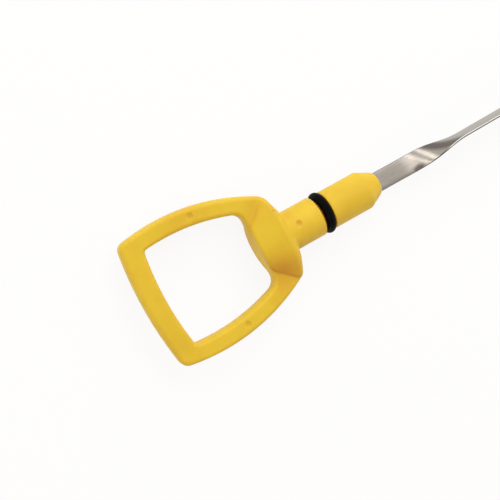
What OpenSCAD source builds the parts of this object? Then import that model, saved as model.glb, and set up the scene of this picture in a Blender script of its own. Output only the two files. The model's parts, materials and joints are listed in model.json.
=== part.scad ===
// Engine oil dipstick: a moulded finger loop with a neck and plug, a rubber
// sealing ring, and a flat steel blade with a quarter twist. It lies on a
// level surface, propped on its shoulder and on the tip of the blade.
// The shaft frame runs along X from the seat, where the shoulder meets the
// neck, and the loop lies in its XY plane. The origin of the finished model
// is on the shaft axis, in the middle of the plug.

/* [Finger loop] */
// Distance from the seat back to the grip's outer corners
loop_l = 46.6; // [38:0.2:70]
// Width across the grip's outer corners
grip_w = 40; // [32:0.5:60]
// How far the grip's outer edge bows outward
grip_bow = 1.7; // [0:0.1:4]
// How far each side bar bows outward
side_bow = 4.2; // [0:0.2:8]
// How far the loop leans out of square, at the grip's outer corners
loop_lean = 0.64; // [0:0.04:1.6]
// Width of the grip bar, seen from above
grip_bar = 6.2; // [4:0.1:9]
// Width of each side bar, seen from above
side_bar = 5.5; // [3.6:0.1:6.4]
// Thickness of the grip and the side bars
bar_t = 5.6; // [3.6:0.1:8]
// Rounding along the edges of the bars
bar_edge_r = 1.4; // [0.4:0.1:1.7]
// Length that the outer grip corners are rounded over
grip_corner = 2.1; // [1:0.1:5]
// Length that the hole's corners beside the grip are rounded over
hole_corner = 0.9; // [0.5:0.1:3]

/* [Yoke] */
// Distance from the seat back to the hole's corners
yoke_l = 10.2; // [9:0.2:18]
// How far the yoke swells into the hole at its middle
yoke_swell = 0.5; // [0:0.1:1.5]
// Width of the yoke where it rises from the side bars, at the edge of the hole
yoke_rim_w = 14.4; // [10:0.2:15.6]
// Width across the outer corners of the shoulder
shoulder_w = 27; // [24:0.2:34]
// How far the shoulder's outer corners lie behind the seat
shoulder_drop = 2; // [0.6:0.1:4]
// Thickness of the yoke beside the seat
yoke_t = 13; // [10:0.2:16]
// Thickness of the yoke at the edge of the hole
yoke_rim_t = 10.2; // [8.2:0.2:12]
// Rounding of the yoke's edge beside the seat
yoke_edge_r = 2.2; // [1:0.1:2.6]
// Rounding of the yoke's rim round the hole
yoke_rim_r = 1.2; // [0.5:0.1:1.6]
// Length that the shoulder's outer corners are rounded over
shoulder_corner = 1.6; // [0.8:0.1:3]
// Length that the hole's corners beside the yoke are rounded over
yoke_corner = 3; // [1.5:0.1:4]

/* [Neck and plug] */
// Diameter of the neck between the seat and the groove
neck_d = 12.5; // [11.6:0.1:12.8]
// Length of the neck
neck_l = 10.8; // [6:0.2:20]
// Width of the ring groove
groove_w = 3.5; // [3.2:0.1:5]
// Diameter at the floor of the ring groove
groove_d = 8; // [7.6:0.1:8.6]
// Diameter of the plug that fills the mouth of the tube
plug_d = 12.2; // [11.4:0.1:13]
// Length of the plug's straight land
plug_l = 13.6; // [8:0.2:24]
// Length of the tapered nose beyond the land
nose_l = 5.4; // [4.6:0.1:7]
// Slope of the nose, measured from the shaft axis
nose_slope = 26; // [15:1:28]
// Rounding at the tip of the nose
nose_tip_r = 2; // [1:0.1:2.4]
// Chamfer on the edges of the neck and the plug beside the groove
land_edge = 0.3; // [0.1:0.05:0.6]

/* [Sealing ring] */
// Thickness of the ring's round section
ring_t = 2.8; // [2.6:0.05:3.1]
// How far the section flattens against the groove's floor and wall
ring_squash = 0.1; // [0.04:0.02:0.2]

/* [Blade] */
// Width of the steel strip
blade_w = 6.3; // [4:0.05:8]
// Thickness of the steel strip
blade_t = 0.8; // [0.5:0.05:1.5]
// Length of the blade outside the nose
blade_out = 370; // [150:5:900]
// Length of the blade's root inside the plug
root_l = 14; // [8:0.5:17]
// Distance from the nose to the start of the twist
twist_start = 8.6; // [1:0.2:40]
// Length of blade that the twist takes up
twist_l = 25; // [15:0.5:60]
// Angle of the twist
twist_deg = 87; // [45:1:120]
// How far the tail bows to the side in its middle
tail_bow = 1.9; // [-2.4:0.1:2.4]
// Rounding of the corners at the blade's tip
tip_r = 2.4; // [0.6:0.1:3]
// Diameter of the two level holes
level_d = 1.8; // [1:0.1:2.6]
// Distance from the tip to the low level hole
level_low = 12; // [6:0.5:25]
// Distance between the two level holes
level_gap = 18; // [8:0.5:40]

/* [Moulding marks] */
// Diameter of the ejector pins' marks on the bars
mark_d = 2.6; // [1.5:0.1:3]
// Depth of the ejector pins' marks
mark_depth = 0.15; // [0.05:0.05:0.4]
// Distance from the seat back to the marks on the side bars
mark_back = 24.5; // [18:0.5:30]
// Distance from the seat forward to the mark on the neck
mark_neck = 2.2; // [1.6:0.1:4]

/* [Rest] */
// Angle that the dipstick rolls through, about its shaft, as it comes to rest
rest_roll = -5.7; // [-12:0.1:12]

/* [Hidden] */

YELLOW = [0.9, 0.72, 0.2];
BLACK = [0.06, 0.06, 0.06];
STEEL = [0.68, 0.67, 0.65];

// Rings along each stretch of one half of the loop
GRIP_RINGS = 8;
CORNER_RINGS = 6;
SIDE_RINGS = 18;
BEND_RINGS = 8;
YOKE_RINGS = 14;
// Points round each of a bar's four edges
EDGE_STEPS = 4;
TWIST_STEPS = 44;
TAIL_STEPS = 16;
ROUND_FN = 96;

neck_r = neck_d / 2;
groove_r = groove_d / 2;
plug_r = plug_d / 2;
groove_end = neck_l + groove_w;
land_end = groove_end + plug_l;
nose_end = land_end + nose_l;
plug_mid = groove_end + land_edge + (plug_l - land_edge) / 2;
shaft_embed = yoke_edge_r;

ring_r = groove_r + ring_t / 2 - ring_squash;
ring_x = groove_end - ring_t / 2 + ring_squash;
ring_out = ring_r + ring_t / 2;

root_x = nose_end - root_l;
twist_x = nose_end + twist_start;
tail_x = twist_x + twist_l;
tip_x = nose_end + blade_out;

// How far the blade lies to the side of the shaft's line at x: the bow sets in
// over the twist and comes back to the line at the tip
function past_twist(x) =
    let (s = max(0, x - twist_x))
    s < twist_l ? s * s / (2 * twist_l) : s - twist_l / 2;
function drift(x) = tail_bow * sin(180 * past_twist(x) / past_twist(tip_x));

// Height of the shaft axis over the ground at the tip, and the pitch that gives it
tip_rise = (blade_w - blade_t) / 2 * cos(90 - twist_deg + rest_roll) + blade_t / 2;
rest_pitch = asin((ring_out - tip_rise) / (tip_x - ring_x));

// Outline of the loop, one half, from the grip to the seat
grip_corner_p = [-loop_l, grip_w / 2];
shoulder_p = [-shoulder_drop, shoulder_w / 2];
seat_p = [0, neck_r];

// A shallow arc from p to q, as a function of t from 0 to 1
function arc(p, q, bow, t) =
    let (d = q - p)
    p + t * d + 4 * bow * t * (1 - t) * [-d[1], d[0]] / norm(d);
// The direction of that arc at t
function arc_dir(p, q, bow, t) =
    let (d = q - p)
    d + 4 * bow * (1 - 2 * t) * [-d[1], d[0]] / norm(d);
// Where the line from a along u meets the line from b along v
function meet(a, u, b, v) =
    a + u * ((b[0] - a[0]) * v[1] - (b[1] - a[1]) * v[0]) / (u[0] * v[1] - u[1] * v[0]);
// A curve from a to b that leaves along u and arrives along v
function bend(a, u, b, v, t) =
    let (c = meet(a, u, b, v))
    (1 - t) * (1 - t) * a + 2 * t * (1 - t) * c + t * t * b;

function grip_outer(t) = arc([-loop_l, -grip_w / 2], grip_corner_p, grip_bow, t);
function side_outer(t) = arc(grip_corner_p, shoulder_p, side_bow, t);

// Where the side's outer edge lies at a distance back from the seat
function side_t(back) = (loop_l - back) / (loop_l - shoulder_drop);
function hole_point(back) = [-back, side_outer(side_t(back))[1] - side_bar];
hole_grip_p = hole_point(loop_l - grip_bar);
hole_yoke_p = hole_point(yoke_l);
hole_mid_back = (loop_l - grip_bar + yoke_l) / 2;
hole_bow = hole_point(hole_mid_back)[1] - (hole_grip_p[1] + hole_yoke_p[1]) / 2;
hole_grip_bow = grip_bow * hole_grip_p[1] / (grip_w / 2);

function hole_grip(t) =
    arc([hole_grip_p[0], -hole_grip_p[1]], hole_grip_p, hole_grip_bow, t);
function hole_side(t) = arc(hole_grip_p, hole_yoke_p, hole_bow, t);

// Share of each edge that its rounded corner takes up
outer_grip_cut = grip_corner / grip_w;
outer_side_cut = grip_corner / norm(shoulder_p - grip_corner_p);
side_end_cut = shoulder_corner / norm(shoulder_p - grip_corner_p);
hole_grip_cut = hole_corner / (2 * hole_grip_p[1]);
hole_side_cut = hole_corner / norm(hole_yoke_p - hole_grip_p);
hole_end_cut = yoke_corner / norm(hole_yoke_p - hole_grip_p);
// Where the rounded corners end on the shoulder and on the yoke's rim
shoulder_dir = seat_p - shoulder_p;
shoulder_end = shoulder_p + shoulder_dir * shoulder_corner / norm(shoulder_dir);
rim_end = hole_yoke_p - [0, yoke_corner];

function outer_half() = [
    for (k = [0:GRIP_RINGS - 1])
        grip_outer(0.5 + (0.5 - outer_grip_cut) * k / GRIP_RINGS),
    for (k = [0:CORNER_RINGS - 1])
        bend(grip_outer(1 - outer_grip_cut),
             arc_dir([-loop_l, -grip_w / 2], grip_corner_p, grip_bow, 1 - outer_grip_cut),
             side_outer(outer_side_cut),
             arc_dir(grip_corner_p, shoulder_p, side_bow, outer_side_cut),
             k / CORNER_RINGS),
    for (k = [0:SIDE_RINGS + BEND_RINGS - 1])
        side_outer(outer_side_cut
            + (1 - side_end_cut - outer_side_cut) * k / (SIDE_RINGS + BEND_RINGS)),
    for (k = [0:YOKE_RINGS])
        shoulder_point(1 - cos(90 * k / YOKE_RINGS))
];

// The shoulder's outer edge, from the side bar at 0 to the shaft axis at 1
function shoulder_point(s) =
    let (turn = 0.25, flat = 0.7)
    s < turn
        ? bend(side_outer(1 - side_end_cut),
               arc_dir(grip_corner_p, shoulder_p, side_bow, 1 - side_end_cut),
               shoulder_end, shoulder_dir, s / turn)
        : s < flat
            ? shoulder_end + (seat_p - shoulder_end) * (s - turn) / (flat - turn)
            : seat_p * (1 - s) / (1 - flat);

function hole_half() = [
    for (k = [0:GRIP_RINGS - 1])
        hole_grip(0.5 + (0.5 - hole_grip_cut) * k / GRIP_RINGS),
    for (k = [0:CORNER_RINGS - 1])
        bend(hole_grip(1 - hole_grip_cut),
             arc_dir([hole_grip_p[0], -hole_grip_p[1]], hole_grip_p, hole_grip_bow,
                     1 - hole_grip_cut),
             hole_side(hole_side_cut),
             arc_dir(hole_grip_p, hole_yoke_p, hole_bow, hole_side_cut),
             k / CORNER_RINGS),
    for (k = [0:SIDE_RINGS - 1])
        hole_side(hole_side_cut + (1 - hole_end_cut - hole_side_cut) * k / SIDE_RINGS),
    for (k = [0:BEND_RINGS - 1])
        corner_point(k / BEND_RINGS),
    for (k = [0:YOKE_RINGS])
        rim_point(yoke_rim_w / 2 * cos(90 * k / YOKE_RINGS))
];

// The hole's edge on the yoke, swelling into the hole towards the middle
function rim_point(y) =
    [-yoke_l - yoke_swell * (1 - pow(y / rim_end[1], 2)), y];
// The hole's corner beside the yoke, from the side bar at 0 to the yoke's rise at 1
function corner_point(s) =
    let (turn = 0.75)
    s < turn
        ? bend(hole_side(1 - hole_end_cut),
               arc_dir(hole_grip_p, hole_yoke_p, hole_bow, 1 - hole_end_cut),
               rim_end, [0, -1], s / turn)
        : rim_point(mix(rim_end[1], yoke_rim_w / 2, (s - turn) / (1 - turn)));

// How far ring k has risen from the side bar to the crown of the yoke
first_yoke = GRIP_RINGS + CORNER_RINGS + SIDE_RINGS + BEND_RINGS;
function rise(k) = k < first_yoke ? 0 : sin(90 * (k - first_yoke) / YOKE_RINGS);
// The rim beside the hole rises more gently than the shoulder
function rim_rise(k) = pow(rise(k), 1.5);
function mix(a, b, f) = a + (b - a) * f;

// One ring of the loop: a rounded section between the hole and the outer edge
function section(o, i, ho, hi, ro, ri) =
    let (w = norm(o - i),
         u = (o - i) / w,
         corners = [[w - ro, ho - ro, ro, 0], [ri, hi - ri, ri, 90],
                    [ri, ri - hi, ri, 180], [w - ro, ro - ho, ro, 270]])
    [for (c = corners, k = [0:EDGE_STEPS])
        let (a = c[3] + 90 * k / EDGE_STEPS,
             s = c[0] + c[2] * cos(a))
        [i[0] + u[0] * s, i[1] + u[1] * s, c[1] + c[2] * sin(a)]];

function half_rings() =
    let (o = outer_half(), i = hole_half())
    [for (k = [0:len(o) - 1])
        section(o[k], i[k],
                mix(bar_t, yoke_t, rise(k)) / 2,
                mix(bar_t, yoke_rim_t, rim_rise(k)) / 2,
                mix(bar_edge_r, yoke_edge_r, rise(k)),
                mix(bar_edge_r, yoke_rim_r, rim_rise(k)))];

function lean(p) = [p[0] - loop_lean * p[1] / (grip_w / 2), p[1], p[2]];
function mirrored(ring) = [for (p = ring) [p[0], -p[1], p[2]]];

// The finger loop and yoke, lofted ring by ring right round the hole
module loop() {
    half = half_rings();
    last = len(half) - 1;
    rings = concat(half, [for (k = [last - 1:-1:1]) mirrored(half[k])]);
    n = len(rings);
    m = len(rings[0]);
    polyhedron(
        points = [for (r = rings, p = r) lean(p)],
        faces = [for (i = [0:n - 1], j = [0:m - 1])
            let (a = i * m + j,
                 b = i * m + (j + 1) % m,
                 c = (i + 1) % n * m + (j + 1) % m,
                 d = (i + 1) % n * m + j)
            each [[a, c, b], [a, d, c]]],
        convexity = 6);
}

// The neck, ring groove, plug and nose, turned about the shaft axis
module shaft() {
    tip_c = nose_end - nose_tip_r;
    tip_in = plug_r - (tip_c + nose_tip_r * sin(nose_slope) - land_end) * tan(nose_slope)
        - nose_tip_r * cos(nose_slope);
    tip_steps = 6;
    rotate([0, 90, 0])
        rotate_extrude($fn = ROUND_FN)
            polygon(concat(
                [[0, -shaft_embed], [neck_r, -shaft_embed], [neck_r, neck_l - land_edge],
                 [neck_r - land_edge, neck_l], [groove_r, neck_l], [groove_r, groove_end],
                 [plug_r - land_edge, groove_end], [plug_r, groove_end + land_edge],
                 [plug_r, land_end]],
                [for (k = [0:tip_steps])
                    let (a = mix(nose_slope, 90, k / tip_steps))
                    [tip_in + nose_tip_r * cos(a), tip_c + nose_tip_r * sin(a)]],
                [[0, nose_end]]));
}

// Section of the steel strip, with its long edges dressed round
function strip_section() =
    let (r = blade_t / 2, c = blade_w / 2 - r)
    [for (side = [1, -1], a = [-90:45:90])
        [side * (c + r * cos(a)), side * r * sin(a)]];

// A straight length of the strip, starting at x
module strip(x, l) {
    translate([x, 0, 0])
        rotate([90, 0, 90])
            linear_extrude(l)
                polygon(strip_section());
}

function ease(t) = t * t * (3 - 2 * t);

// Places along the strip, each with how far it has turned there
stations = concat(
    [[root_x, 0]],
    [for (k = [0:TWIST_STEPS])
        [twist_x + twist_l * k / TWIST_STEPS, twist_deg * ease(k / TWIST_STEPS)]],
    [for (k = [1:TAIL_STEPS])
        [mix(tail_x, tip_x, k / TAIL_STEPS), twist_deg]]);

// The whole strip: straight root, eased twist and bowed tail
module twisted_strip() {
    s = strip_section();
    m = len(s);
    last = len(stations) - 1;
    polyhedron(
        points = [for (at = stations, p = s)
            [at[0],
             drift(at[0]) + p[0] * cos(at[1]) + p[1] * sin(at[1]),
             p[1] * cos(at[1]) - p[0] * sin(at[1])]],
        faces = concat(
            [[for (j = [0:m - 1]) j]],
            [[for (j = [m - 1:-1:0]) last * m + j]],
            [for (i = [0:last - 1], j = [0:m - 1])
                let (a = i * m + j,
                     b = i * m + (j + 1) % m,
                     c = (i + 1) * m + (j + 1) % m,
                     d = (i + 1) * m + j)
                each [[a, c, b], [a, d, c]]]),
        convexity = 8);
}

// A cutter that passes through the tail, a distance back from the tip
module on_tail(back) {
    translate([tip_x - back, drift(tip_x - back), 0])
        rotate([-twist_deg, 0, 0])
            translate([0, 0, -blade_t])
                children();
}

// What is cut away to round the corners of the tip
module tip_waste() {
    difference() {
        translate([-tip_r, -blade_w])
            square([2 * tip_r, 2 * blade_w]);
        for (side = [-1, 1])
            translate([-tip_r, side * (blade_w / 2 - tip_r)])
                circle(tip_r, $fn = 48);
        translate([-2 * tip_r, tip_r - blade_w / 2])
            square([2 * tip_r, blade_w - 2 * tip_r]);
    }
}

// Marks left by the ejector pins on the upper face of each side bar and on the neck
module ejector_marks() {
    bar_y = side_outer(side_t(mark_back))[1] - side_bar / 2;
    for (side = [-1, 1])
        translate([-mark_back - side * loop_lean * bar_y / (grip_w / 2), side * bar_y,
                   bar_t / 2 - mark_depth])
            cylinder(h = 1, d = mark_d, $fn = 48);
    translate([mark_neck, 0, neck_r - mark_depth])
        cylinder(h = 1, d = mark_d, $fn = 48);
}

// Lays the shaft frame down as it comes to rest
module laid() {
    rotate([0, rest_pitch, 0])
        rotate([rest_roll, 0, 0])
            translate([-plug_mid, 0, 0])
                children();
}

module handle() {
    color(YELLOW)
        laid()
            difference() {
                union() {
                    loop();
                    shaft();
                }
                strip(root_x, root_l + 1);
                ejector_marks();
            }
}

module o_ring() {
    color(BLACK)
        laid()
            rotate([0, 90, 0])
                rotate_extrude($fn = ROUND_FN)
                    intersection() {
                        translate([ring_r, ring_x])
                            circle(ring_t / 2, $fn = 64);
                        translate([groove_r, groove_end - 2 * ring_t])
                            square(2 * ring_t);
                    }
}

module blade() {
    color(STEEL)
        laid()
            difference() {
                twisted_strip();
                on_tail(0)
                    linear_extrude(2 * blade_t)
                        tip_waste();
                for (back = [level_low, level_low + level_gap])
                    on_tail(back)
                        cylinder(h = 2 * blade_t, d = level_d, $fn = 48);
            }
}

handle();
o_ring();
blade();
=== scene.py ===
"""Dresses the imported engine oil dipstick: finger-loop handle, sealing ring and blade.

Lengths are in metres and angles in radians. Shapes are worked out in the shaft frame,
which runs along +X from the seat, where the shoulder meets the neck, with the finger
loop in its XY plane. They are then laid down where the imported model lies.
"""

import json
import math

import bmesh
import bpy
import numpy as np
from bpy.props import FloatProperty, FloatVectorProperty, IntProperty, PointerProperty
from mathutils import Matrix, Vector
from mathutils.bvhtree import BVHTree


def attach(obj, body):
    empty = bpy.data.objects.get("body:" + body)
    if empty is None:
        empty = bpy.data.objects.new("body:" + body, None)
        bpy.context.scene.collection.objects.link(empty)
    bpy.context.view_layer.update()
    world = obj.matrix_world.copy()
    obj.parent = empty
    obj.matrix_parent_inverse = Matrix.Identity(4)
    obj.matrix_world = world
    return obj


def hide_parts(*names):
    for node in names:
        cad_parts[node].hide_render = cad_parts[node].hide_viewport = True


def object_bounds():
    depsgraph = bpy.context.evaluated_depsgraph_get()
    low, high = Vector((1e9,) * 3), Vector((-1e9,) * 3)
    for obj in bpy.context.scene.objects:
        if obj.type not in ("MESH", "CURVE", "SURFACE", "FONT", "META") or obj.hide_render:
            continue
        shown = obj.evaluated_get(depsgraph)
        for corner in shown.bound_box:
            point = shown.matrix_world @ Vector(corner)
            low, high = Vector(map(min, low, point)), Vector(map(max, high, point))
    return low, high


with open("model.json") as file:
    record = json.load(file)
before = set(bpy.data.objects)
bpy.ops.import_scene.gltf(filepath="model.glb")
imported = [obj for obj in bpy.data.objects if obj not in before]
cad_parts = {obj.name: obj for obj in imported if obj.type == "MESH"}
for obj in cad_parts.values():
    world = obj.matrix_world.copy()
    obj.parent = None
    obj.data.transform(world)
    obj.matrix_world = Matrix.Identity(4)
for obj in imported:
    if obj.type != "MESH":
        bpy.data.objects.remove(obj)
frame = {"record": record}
packed_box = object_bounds()

bl_info = {
    "name": "Engine oil dipstick",
    "version": (1, 0, 0),
    "blender": (4, 5, 0),
    "location": "3D View > Sidebar > Dipstick",
    "description": "Builds the dipstick's handle, sealing ring, blade and studio",
    "category": "Object",
}

BODY = "root"
PLUG = next(m for m in frame["record"]["mounts"] if m["name"] == "plug")
MM = 0.001

# Steps along each stretch of one half of the loop, and round each of its edges
GRIP_STEPS = 24
CORNER_STEPS = 14
SIDE_STEPS = 70
BEND_STEPS = 24
YOKE_STEPS = 56
CREASE_STEPS = 6
EDGE_STEPS = 8
# Where the shoulder's corner ends and where its straight run meets the seat, from the side
# bar at 0 to the shaft axis at 1, how far each way the turn at that meeting reaches, and
# where the hole's corner ends, from the side bar at 0 to the yoke's rise at 1
SHOULDER_TURN = 0.25
SHOULDER_FLAT = 0.7
SEAT_TURN = 0.12
RIM_TURN = 0.75
# Power of the yoke's rise at the rim of the hole
RIM_POWER = 1.5

# Steps round the shaft, along its rounded corners and round the ring's section
ROUND_STEPS = 256
ARC_STEPS = 6
RING_STEPS = 72
# Radius of the tiny faces that close the shaft's ends
AXIS_RADIUS = 0.02 * MM

# Rounds that draw the skin onto the forms, and that smooth its creases
SETTLE_ROUNDS = 3
CREASE_ROUNDS = 20
# Lengths under which a point counts as on a surface, and a way out as none
ON_SURFACE = 1e-9
NO_WAY = 1e-6
# Softness of the ejector marks at their two sides, in radii
MARK_SOFT = 1.0
MARK_CRISP = 0.15

# Steps round the strip's corners, over its faces, along it and round its holes
STRIP_CORNER_STEPS = 5
FACE_STEPS = 16
ROOT_STEPS = 8
TAIL_STEPS = 60
TIP_STEPS = 14
HOLE_STEPS = 48
# How far apart the strip's two broad faces lie in its map
FACE_SHIFT = 0.02

# Edges that bend by more than these angles stay sharp, in degrees
HANDLE_SHARP = 60
RING_SHARP = 50
BLADE_SHARP = 40

# Reach of the painted shade, a richer colour, in the plastic's folds, the openness that it fades over,
# its strength there and as a painted dark line along the crease, and the share of it left by the seat
FOLD_SHADE_REACH = 0.006
FOLD_SHADE_FADE = (0.84, 0.985)
FOLD_SHADE_TINT = 0.95
CREASE_SHADE_TINT = 0.9
SEAT_SHADE_SHARE = 0.2
# How far the painted shade in the marks lies towards their crisp side, and its strength on bars and
# neck
MARK_SHADE_SHIFT = 0.0005
BAR_MARK_SHADE = 0.3
NECK_MARK_SHADE = 0.5
# Distances over which the plastic's tones fade: from the crease for its painted dark line, the
# middle plane, the seat, a mark's middle for its painted shade, and the parting line
CREASE_SHADE_FADE = (0.0002, 0.0012)
THICK_FADE = (0.0024, 0.0031)
SEAT_FADE = (0.0035, 0.0065)
MARK_FADE = (0.0004, 0.0012)
PARTING_FADE = (0.00002, 0.0001)
# The same from the middle of the ring's flash line
FLASH_FADE = (0.00002, 0.00008)
# Span of noise that the rubber's bloom comes up over, and its strength
BLOOM_SPAN = (0.45, 0.75)
BLOOM_TINT = 0.35

# How fast the painted dark reflection band over the twist moves along the strip, across its width
DARK_REFLECTION_SLANT = 1.3
# Distances over which the steel's tones fade, along the strip: from the painted dark
# reflection band's middle, up to the end of the painted dark reflection on the edge before
# it, about the band for the edges' painted highlight, and from the nose
BAND_FADE = (0.0012, 0.0052)
EDGE_DARK_REFLECTION_FADE = (-0.0116, -0.0066)
EDGE_HIGHLIGHT_FADE = (-0.0026, 0.0024)
NOSE_DARKENING_FADE = (0.006, 0.011)
# The same for the spot of painted dark reflection, in shares of its size
SPOT_FADE = (0.4, 1.2)
# Where the painted highlight lies on the steel, from the nose, and how that fades
PAINTED_HIGHLIGHT_PLACE = 0.0125
PAINTED_HIGHLIGHT_FADE = (0.001, 0.0035)
# Places across the strip that the darker steel next to the nose and the painted highlight
# fade in between, and the share of the darker steel's tone on its weaker side
NOSE_DARKENING_SIDE = (-0.001, 0.002)
PAINTED_HIGHLIGHT_SIDE = (0, 0.0018)
NOSE_DARKENING_SHARE = 0.3
# Strengths of the steel's tones: the painted dark reflection in the band, on the edge before
# it and in the spot, the darker steel next to the nose, the painted highlight, and the least
# and the most in the drawn lines
BAND_TINT = 0.88
EDGE_DARK_REFLECTION_TINT = 0.6
SPOT_TINT = 0.95
NOSE_DARKENING_TINT = 0.5
PAINTED_HIGHLIGHT_TINT = 0.22
LINES_TINT = (0.1, 0.6)
# How far in from its side the strip's edge is at its full tone, in roundings of its corners
EDGE_FULL = 0.4

# How finely the steel's drawn lines run along it and across it, and its broader ones
LINES = (220, 4200, 1)
BROAD_LINES = (25, 900, 1)

# Spans of noise that hold nearly all of it, and its upper part
NOISE_SPAN = (0.3, 0.7)
NOISE_UPPER = (0.35, 0.7)

WHITE = (1.0, 1.0, 1.0, 1.0)
# Each lamp's name, place, size, level, colour setting and whether it shows in the gloss.
# A level of 1 shows white as white
LAMPS = (
    ("key light", (0.24, 0.78, 0.62), (1.4, 1.1), 0.6, "lamp_colour", False),
    ("upper strip light", (0.37, 0.44, 0.69), (1.1, 0.14), 0.115, "strip_colour", True),
    ("low light", (0.38, 0.73, 0.36), (1.0, 0.24), 0.17, "strip_colour", True),
    ("top light", (0.41, 0.17, 0.9), (0.35, 0.35), 0.04, "strip_colour", True),
    ("side light", (0.68, -0.45, 0.36), (0.5, 0.5), 0.1, "lamp_colour", True),
    ("grip light", (-0.8, -0.1, 0.3), (0.5, 0.5), 0.14, "lamp_colour", True),
)
CAMERA_CLIP = 0.01
# Tone of the floor's darker patches, and how far the floor near the part shows as white
FLOOR_TONE = 0.985
FLOOR_GLOW = 0.88


# Kinds of setting

def size(name, description, default):
    """A length"""
    return FloatProperty(name=name, description=description, default=default, unit="LENGTH")


def angle(name, description, degrees):
    """An angle, whose default is given in degrees"""
    return FloatProperty(name=name, description=description, default=math.radians(degrees),
                         unit="ROTATION", subtype="ANGLE")


def factor(name, description, default):
    """A share from 0 to 1"""
    return FloatProperty(name=name, description=description, default=default,
                         min=0, max=1, subtype="FACTOR")


def tint(name, description, default):
    """A colour"""
    return FloatVectorProperty(name=name, description=description, default=default, size=3,
                               min=0, max=1, subtype="COLOR")


class LoopSizes(bpy.types.PropertyGroup):
    """Sizes of the finger loop"""

    length: size("Length", "From the seat back to the grip's outer corners", 0.0466)
    grip_width: size("Grip width", "Across the grip's outer corners", 0.04)
    grip_bow: size("Grip bow", "How far the grip's outer edge bows outward", 0.0017)
    side_bow: size("Side bow", "How far each side bar bows outward", 0.0042)
    lean: size("Lean", "How far the loop leans out of square at the grip's corners", 0.00064)
    grip_bar: size("Grip bar", "Width of the grip bar, seen from above", 0.0062)
    side_bar: size("Side bar", "Width of each side bar, seen from above", 0.0055)
    thickness: size("Thickness", "Thickness of the grip and the side bars", 0.0056)
    edge_radius: size("Edge radius", "Rounding along the edges of the bars", 0.0014)
    grip_corner: size("Grip corner", "Length of the grip's rounded outer corners", 0.0021)
    hole_corner: size("Hole corner", "Length of the hole's rounded corners by the grip", 0.0009)


class YokeSizes(bpy.types.PropertyGroup):
    """Sizes of the yoke between the finger loop and the neck"""

    length: size("Length", "From the seat back to the hole's corners", 0.0102)
    swell: size("Swell", "How far the yoke swells into the hole at its middle", 0.0005)
    rim_width: size("Rim width", "Width where the yoke rises from the side bars, at the hole", 0.0144)
    shoulder_width: size("Shoulder width", "Across the shoulder's outer corners", 0.027)
    shoulder_drop: size("Shoulder drop", "How far the shoulder's corners lie behind the seat", 0.002)
    thickness: size("Thickness", "Thickness beside the seat", 0.013)
    rim_thickness: size("Rim thickness", "Thickness at the edge of the hole", 0.0102)
    edge_radius: size("Edge radius", "Rounding of the edge beside the seat", 0.0022)
    rim_radius: size("Rim radius", "Rounding of the rim round the hole", 0.0012)
    shoulder_corner: size("Shoulder corner", "Length of the shoulder's rounded corners", 0.0016)
    hole_corner: size("Hole corner", "Length of the hole's rounded corners by the yoke", 0.003)
    crease_shift: size("Crease shift", "How far past the side bar's end the yoke starts to rise",
                       0.0007)
    fullness: FloatProperty(
        name="Fullness", description="Power of the yoke's rise beside the seat; less is fuller",
        default=1.75, min=0.4, max=2.5)
    crease_fill: size("Crease fill", "Reach of the soft fillet where the yoke rises", 0.0003)
    seat_fillet: size("Seat fillet", "Soft fillet where the neck rises out of the shoulder", 0.0009)


class ShaftSizes(bpy.types.PropertyGroup):
    """Sizes of the neck, the ring groove, the plug and the nose"""

    neck_diameter: size("Neck diameter", "Diameter between the seat and the groove", 0.0125)
    neck_length: size("Neck length", "From the seat to the groove", 0.0108)
    groove_width: size("Groove width", "Width of the ring groove", 0.0035)
    groove_diameter: size("Groove diameter", "Diameter at the floor of the groove", 0.008)
    land_edge: size("Land edge", "Rounding of the edges beside the groove", 0.0003)
    plug_diameter: size("Plug diameter", "Diameter of the plug's straight land",
                        2 * MM * PLUG["dims"]["r_mm"])
    plug_land: size("Plug land", "Length of the plug's straight land", MM * PLUG["dims"]["length_mm"])
    nose_length: size("Nose length", "Length of the tapered nose beyond the land", 0.0054)
    nose_slope: angle("Nose slope", "Slope of the nose, from the shaft axis", 26)
    nose_edge: size("Nose edge", "Rounding between the land and the nose", 0.0005)
    nose_tip_radius: size("Nose tip radius", "Rounding at the tip of the nose", 0.002)


class RingSizes(bpy.types.PropertyGroup):
    """Sizes of the sealing ring"""

    thickness: size("Thickness", "Thickness of the ring's round section", 0.0028)
    squash: size("Squash", "How far the section flattens against the groove", 0.0001)


class BladeSizes(bpy.types.PropertyGroup):
    """Sizes of the steel blade and places of its painted dark reflections"""

    width: size("Width", "Width of the steel strip", 0.0063)
    thickness: size("Thickness", "Thickness of the steel strip", 0.0008)
    crown: size("Crown", "How far each broad face stands up in its middle", 0.00006)
    corner: size("Corner", "Rounding of the four long corners of the strip", 0.00013)
    reach: size("Reach", "Length of the blade outside the nose", 0.37)
    root: size("Root", "Length of the blade inside the plug", 0.014)
    twist_start: size("Twist start", "From the nose to the start of the twist", 0.0086)
    twist_length: size("Twist length", "Length of blade that the twist takes up", 0.025)
    twist: angle("Twist", "Angle of the twist", 83.5)
    tail_bow: size("Tail bow", "How far the tail bows to the side in its middle", 0.0019)
    tip_radius: size("Tip radius", "Rounding of the corners at the tip", 0.0024)
    level_diameter: size("Level hole", "Diameter of the two level holes", 0.0018)
    level_low: size("Low level", "From the tip to the low level hole", 0.012)
    level_gap: size("Level gap", "Between the two level holes", 0.018)
    # Painted dark reflection: where its band over the twist lies
    dark_reflection: size("Haze", "From the nose to the middle of the hazy band over the twist", 0.0256)
    # The dull spot is a painted dark reflection where the twist starts
    spot_along: size("Spot along", "From the nose to the dull spot where the twist starts", 0.0147)
    spot_across: size("Spot across", "From the strip's middle to the dull spot", -0.0027)
    spot_length: size("Spot length", "Half the length of the dull spot", 0.0024)
    spot_width: size("Spot width", "Half the width of the dull spot", 0.0015)


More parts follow.
